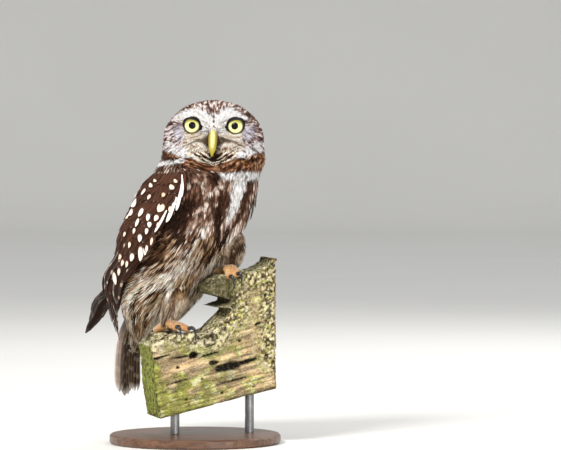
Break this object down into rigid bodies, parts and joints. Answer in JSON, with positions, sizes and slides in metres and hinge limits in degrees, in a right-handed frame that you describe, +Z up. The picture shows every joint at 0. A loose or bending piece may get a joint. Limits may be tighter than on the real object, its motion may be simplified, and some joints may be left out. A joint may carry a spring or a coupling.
{
  "type": "little owl display model",
  "caption": "Life-size still little owl standing on a short cut length of old timber, carried by rods on a flat round base.",
  "frame": {"origin": "centre of the round base's underside, on the floor", "axes": "+Z up; the owl's face looks along -Y and its breast is turned 45 degrees from the face towards +X; -X is the side of the owl's right wing"},
  "size_m": [0.1436, 0.1385, 0.2402],
  "materials": {
    "head_feathers": "brown crown with fine pale flecks, white brows and cheeks, greyish face",
    "body_feathers": "cream and buff with soft brown streaks",
    "wing_feathers": "dark brown vanes with white drop-shaped spots",
    "tail_feathers": "greyish brown vanes with pale bars",
    "iris": "lemon yellow iris with a round black pupil, wet gloss",
    "bill": "greenish yellow horn, satin",
    "claw": "blackish horn with a soft shine",
    "toe_skin": "buff bristled toes with pinkish pads",
    "old_timber": "weathered, worm-eaten oak with green algae and moss",
    "stand_wood": "dark satin lacquer",
    "stand_steel": "brushed rod"
  },
  "bodies": {
    "root": {"bill_lower": "bill", "bill_upper": "bill", "claw_left_1": "claw", "claw_left_2": "claw", "claw_left_3": "claw", "claw_left_4": "claw", "claw_right_1": "claw", "claw_right_2": "claw", "claw_right_3": "claw", "claw_right_4": "claw", "eye_left": "iris", "eye_right": "iris", "foot_left": "toe_skin", "foot_right": "toe_skin", "head": "head_feathers", "leg_left": "body_feathers", "leg_right": "body_feathers", "neck": "head_feathers", "perch_timber": "old_timber", "stand_base": "stand_wood", "stand_rod_back": "stand_steel", "stand_rod_front": "stand_steel", "tail": "tail_feathers", "trunk": "body_feathers", "wing_left": "wing_feathers", "wing_right": "wing_feathers"}
  },
  "joints": []
}
